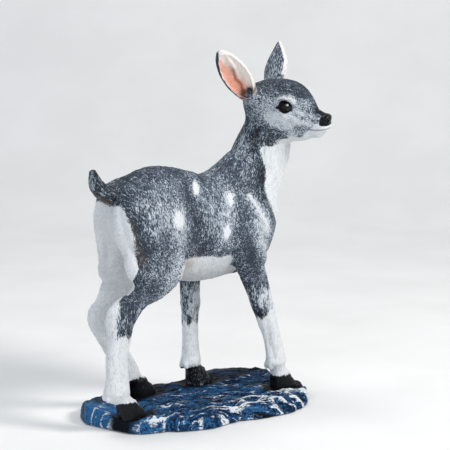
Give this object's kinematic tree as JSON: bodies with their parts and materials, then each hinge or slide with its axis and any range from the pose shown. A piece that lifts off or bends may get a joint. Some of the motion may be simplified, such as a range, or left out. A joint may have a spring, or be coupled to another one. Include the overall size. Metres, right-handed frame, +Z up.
{
  "type": "fawn garden figure",
  "caption": "Painted cast-resin fawn standing on a rock slab and looking back over its shoulder, with cupped ears, an upturned tail and a spotted grey coat.",
  "frame": {"origin": "centre of the bounding box at the underside of the felt sheet", "axes": "+X the way the body points, +Y the animal's left, +Z up"},
  "size_m": [0.3303, 0.1882, 0.4624],
  "materials": {
    "painted_coat": "matt hand-painted cast resin, dark grey drybrushed with white hair strokes",
    "painted_leg": "matt hand-painted cast resin, grey above and white below with black hooves",
    "painted_ear": "matt hand-painted cast resin, pink inside with a pale rim and a grey back",
    "eye_gloss": "gloss black-brown domed eye",
    "painted_rock": "matt dark blue-black cast stone, drybrushed white",
    "armature_steel": "plain mild steel rod",
    "zinc_steel": "zinc-plated steel",
    "felt": "black felt sheet"
  },
  "bodies": {
    "root": {"torso_casting": "painted_coat", "neck_casting": "painted_coat", "head_casting": "painted_coat", "tail": "painted_coat", "ear_left": "painted_ear", "ear_right": "painted_ear", "eye_left": "eye_gloss", "eye_right": "eye_gloss", "leg_front_left": "painted_leg", "leg_front_right": "painted_leg", "leg_rear_left": "painted_leg", "leg_rear_right": "painted_leg", "armature_rod_front_left": "armature_steel", "armature_rod_front_right": "armature_steel", "armature_rod_rear_left": "armature_steel", "armature_rod_rear_right": "armature_steel", "neck_dowel": "armature_steel", "tail_pin": "armature_steel", "ear_pin_left": "armature_steel", "ear_pin_right": "armature_steel", "rock_base": "painted_rock", "base_washers": "zinc_steel", "base_nuts": "zinc_steel", "felt_sheet": "felt"}
  },
  "joints": []
}
